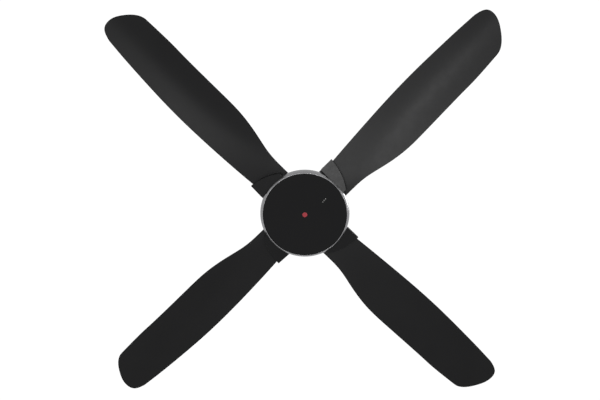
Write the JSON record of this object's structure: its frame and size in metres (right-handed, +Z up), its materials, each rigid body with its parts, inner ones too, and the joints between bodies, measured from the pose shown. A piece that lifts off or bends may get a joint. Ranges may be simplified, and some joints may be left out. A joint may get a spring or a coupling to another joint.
{
  "type": "ceiling fan",
  "caption": "Low-profile ceiling fan: satin black upswept blades on cast holders round a hub with a silver trim band and a flat gloss black under-cover.",
  "frame": {"origin": "centre of the bracket's ceiling face", "axes": "+Z up into the ceiling, the fan hangs below; the blades lie on the diagonals of X and Y, blade_1 along +X +Y"},
  "size_m": [0.9716, 0.9716, 0.2153],
  "materials": {
    "blade": "satin black moulded plastic",
    "holder_black": "die-cast, satin black paint",
    "housing_black": "die-cast, satin black paint",
    "cover_gloss": "high-gloss black",
    "shell_black": "satin black paint on pressed steel",
    "trim_silver": "satin anodised silver",
    "steel_plate": "zinc-plated steel",
    "fastener_steel": "zinc-plated steel",
    "fastener_black": "black oxide steel",
    "shaft_steel": "ground steel",
    "bearing_steel": "polished bearing steel",
    "cage_nylon": "natural nylon",
    "lamination": "varnished electrical steel laminations",
    "copper": "enamelled copper wire",
    "magnet": "sintered ferrite",
    "back_iron_steel": "phosphated steel ring",
    "brass": "bare brass",
    "rubber_black": "moulded rubber",
    "terminal_plastic": "ivory polyamide",
    "board_green": "solder-masked laminate",
    "chip_black": "moulded epoxy",
    "connector_white": "white nylon",
    "capacitor_sleeve": "sleeved electrolytic capacitor",
    "lead_grey": "PVC sheath",
    "lens_red": "tinted infrared window",
    "indicator": "clear light pipe"
  },
  "bodies": {
    "hanger": {"ceiling_bracket": "steel_plate", "terminal_block": "terminal_plastic", "terminal_clamps": "brass", "terminal_block_screws": "fastener_steel", "earth_screw": "brass", "canopy": "shell_black", "canopy_screws": "fastener_black", "stem": "shell_black", "stem_pins": "fastener_steel", "cotter_pins": "fastener_steel", "stem_grommets": "rubber_black", "coupling_yoke": "steel_plate", "coupling_set_screws": "fastener_black", "coupling_cover": "shell_black", "motor_shaft": "shaft_steel", "stator_core": "lamination", "stator_windings": "copper", "upper_inner_ring": "bearing_steel", "lower_inner_ring": "bearing_steel", "shaft_circlip": "fastener_black", "plate_spacer": "fastener_steel", "mounting_plate": "steel_plate", "shaft_washer": "fastener_steel", "shaft_nut": "fastener_steel", "board_posts": "brass", "control_board": "board_green", "board_screws": "fastener_steel", "board_capacitors": "capacitor_sleeve", "board_chips": "chip_black", "board_connectors": "connector_white", "supply_lead": "lead_grey", "motor_lead": "lead_grey", "bottom_cover": "cover_gloss", "receiver_lens": "lens_red", "receiver_module": "chip_black", "indicator_lights": "indicator"},
    "rotor": {"rotor_upper_housing": "housing_black", "rotor_lower_housing": "housing_black", "back_iron": "back_iron_steel", "magnets": "magnet", "upper_outer_ring": "bearing_steel", "lower_outer_ring": "bearing_steel", "trim_band": "trim_silver", "band_screws": "fastener_steel", "holder_1": "holder_black", "holder_2": "holder_black", "holder_3": "holder_black", "holder_4": "holder_black", "holder_screws": "fastener_steel", "blade_1": "blade", "blade_2": "blade", "blade_3": "blade", "blade_4": "blade", "blade_washers": "fastener_black", "blade_screws": "fastener_black"},
    "upper_ball_set": {"upper_balls": "bearing_steel", "upper_cage": "cage_nylon"},
    "lower_ball_set": {"lower_balls": "bearing_steel", "lower_cage": "cage_nylon"}
  },
  "joints": [
    {"name": "rotor_spin", "type": "hinge", "parent": "hanger", "child": "rotor", "pos_m": [0, 0, -0.16], "axis": [0, 0, 1], "continuous": true},
    {"name": "upper_cage_spin", "type": "hinge", "parent": "hanger", "child": "upper_ball_set", "pos_m": [0, 0, -0.133], "axis": [0, 0, 1], "continuous": true},
    {"name": "lower_cage_spin", "type": "hinge", "parent": "hanger", "child": "lower_ball_set", "pos_m": [0, 0, -0.186], "axis": [0, 0, 1], "continuous": true}
  ],
  "couplings": [
    {"joint": "upper_cage_spin", "follows": "rotor_spin", "ratio": 0.61842},
    {"joint": "lower_cage_spin", "follows": "rotor_spin", "ratio": 0.61842}
  ]
}
